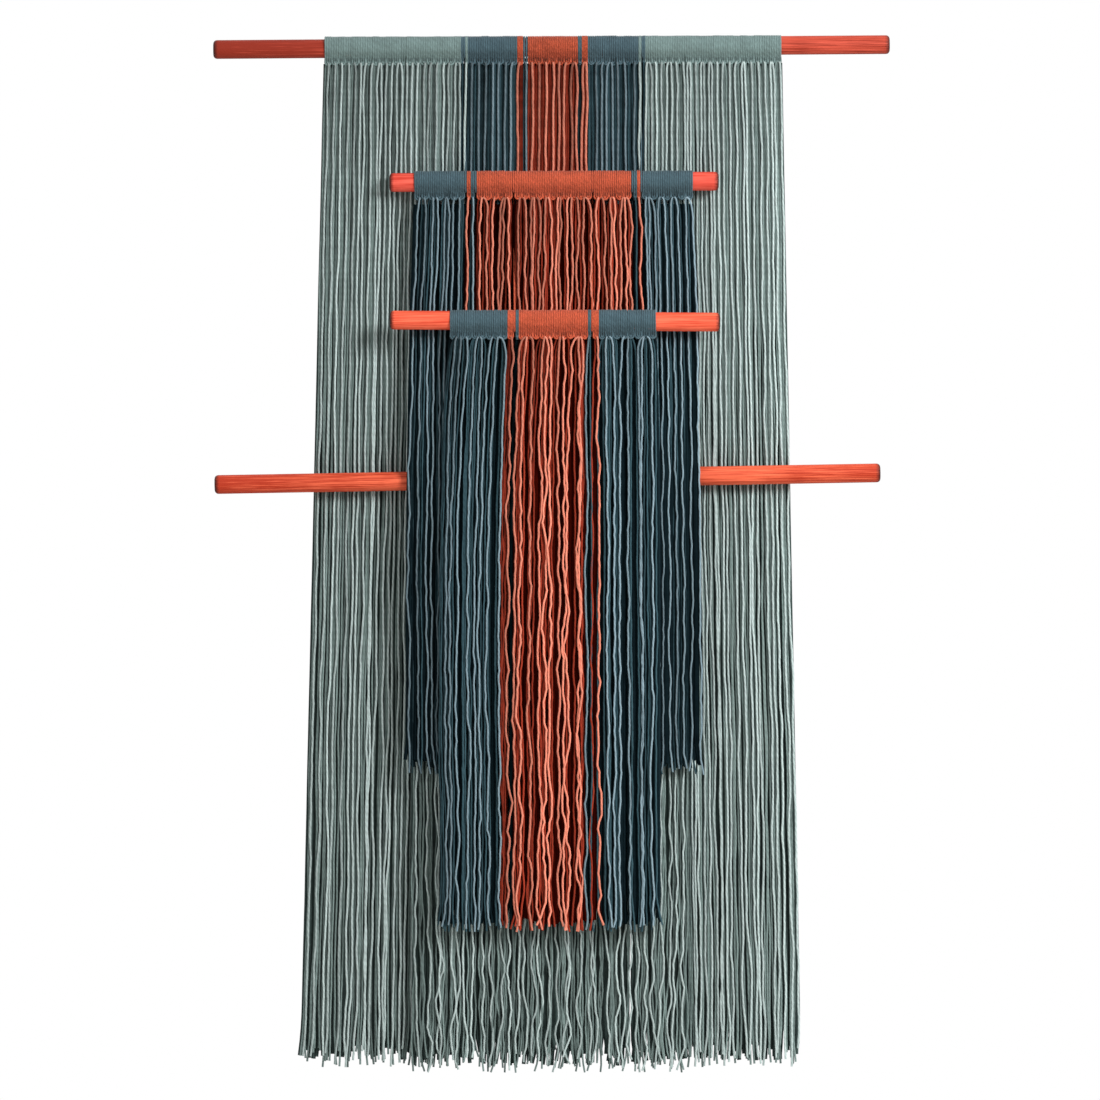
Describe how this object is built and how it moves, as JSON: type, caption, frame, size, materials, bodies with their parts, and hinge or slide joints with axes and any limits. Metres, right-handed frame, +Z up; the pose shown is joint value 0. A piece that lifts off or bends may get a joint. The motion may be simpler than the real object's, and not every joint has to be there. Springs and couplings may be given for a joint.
{
  "type": "yarn wall hanging",
  "caption": "Tiered wall hanging: striped yarn fringes knotted on stained wooden rods, hung one below another on yarn ties.",
  "frame": {"origin": "on the wall plane, level with the middle of the top rod, at mid length of that rod", "axes": "+Z up, +X to the right as the viewer sees it, +Y into the wall; the front faces -Y"},
  "size_m": [0.9144, 0.0856, 1.3946],
  "materials": {
    "stained_wood": "orange-red wood stain, satin, worn dark at the ends",
    "yarn_sage": "plied worsted yarn, grey green",
    "yarn_blue": "plied worsted yarn, deep slate blue",
    "yarn_rust": "plied worsted yarn, burnt orange"
  },
  "bodies": {
    "top": {"top_rod": "stained_wood", "top_knots_01_sage": "yarn_sage", "top_knots_02_blue": "yarn_blue", "top_knots_03_sage": "yarn_sage", "top_knots_04_blue": "yarn_blue", "top_knots_05_rust": "yarn_rust", "top_knots_06_blue": "yarn_blue", "top_knots_07_rust": "yarn_rust", "top_knots_08_blue": "yarn_blue", "top_knots_09_rust": "yarn_rust", "top_knots_10_blue": "yarn_blue", "top_knots_11_sage": "yarn_sage", "top_knots_12_blue": "yarn_blue", "top_knots_13_sage": "yarn_sage"},
    "back_fringe": {"back_fringe_sage_left": "yarn_sage", "back_fringe_blue_left": "yarn_blue", "back_fringe_rust": "yarn_rust", "back_fringe_blue_right": "yarn_blue", "back_fringe_sage_right": "yarn_sage"},
    "second": {"second_rod": "stained_wood", "second_knots_01_blue": "yarn_blue", "second_knots_02_rust": "yarn_rust", "second_knots_03_blue": "yarn_blue", "second_knots_04_rust": "yarn_rust", "second_knots_05_rust": "yarn_rust", "second_knots_06_rust": "yarn_rust", "second_knots_07_blue": "yarn_blue", "second_knots_08_rust": "yarn_rust", "second_knots_09_blue": "yarn_blue", "tie_top_to_second_left": "yarn_blue", "tie_top_to_second_right": "yarn_blue"},
    "crossbar": {"crossbar_rod": "stained_wood", "crossbar_knots_01_sage": "yarn_sage", "crossbar_knots_02_sage": "yarn_sage", "crossbar_knots_03_sage": "yarn_sage", "tie_second_to_crossbar_left": "yarn_blue", "tie_second_to_crossbar_right": "yarn_blue", "crossbar_fringe_sage": "yarn_sage"},
    "second_fringe": {"second_fringe_blue_left": "yarn_blue", "second_fringe_rust_left": "yarn_rust", "second_fringe_rust_centre": "yarn_rust", "second_fringe_rust_right": "yarn_rust", "second_fringe_blue_right": "yarn_blue"},
    "third": {"third_rod": "stained_wood", "third_knots_01_blue": "yarn_blue", "third_knots_02_rust": "yarn_rust", "third_knots_03_blue": "yarn_blue", "third_knots_04_rust": "yarn_rust", "third_knots_05_blue": "yarn_blue", "third_knots_06_rust": "yarn_rust", "third_knots_07_blue": "yarn_blue", "tie_second_to_third_left": "yarn_rust", "tie_second_to_third_right": "yarn_rust"},
    "third_fringe": {"third_fringe_blue_left": "yarn_blue", "third_fringe_rust": "yarn_rust", "third_fringe_blue_right": "yarn_blue"}
  },
  "joints": [
    {"name": "back_fringe_swing", "type": "hinge", "parent": "top", "child": "back_fringe", "pos_m": [0, -0.018, 0], "axis": [-1, 0, -0.0073], "range_deg": [0, 10]},
    {"name": "second_rod_swing", "type": "hinge", "parent": "back_fringe", "child": "second", "pos_m": [0, -0.018, 0], "axis": [-1, 0, -0.0073], "range_deg": [0, 10]},
    {"name": "crossbar_swing", "type": "hinge", "parent": "second", "child": "crossbar", "pos_m": [0.0034, -0.045, -0.1834], "axis": [-1, 0, -0.0042], "range_deg": [0, 8]},
    {"name": "second_fringe_swing", "type": "hinge", "parent": "crossbar", "child": "second_fringe", "pos_m": [0.0034, -0.045, -0.1834], "axis": [-1, 0, -0.0042], "range_deg": [0, 8]},
    {"name": "third_rod_swing", "type": "hinge", "parent": "second_fringe", "child": "third", "pos_m": [0.0034, -0.045, -0.1834], "axis": [-1, 0, -0.0042], "range_deg": [0, 10]},
    {"name": "third_fringe_swing", "type": "hinge", "parent": "third", "child": "third_fringe", "pos_m": [0.0046, -0.073, -0.3719], "axis": [-1, 0, 0.0063], "range_deg": [0, 12]}
  ]
}
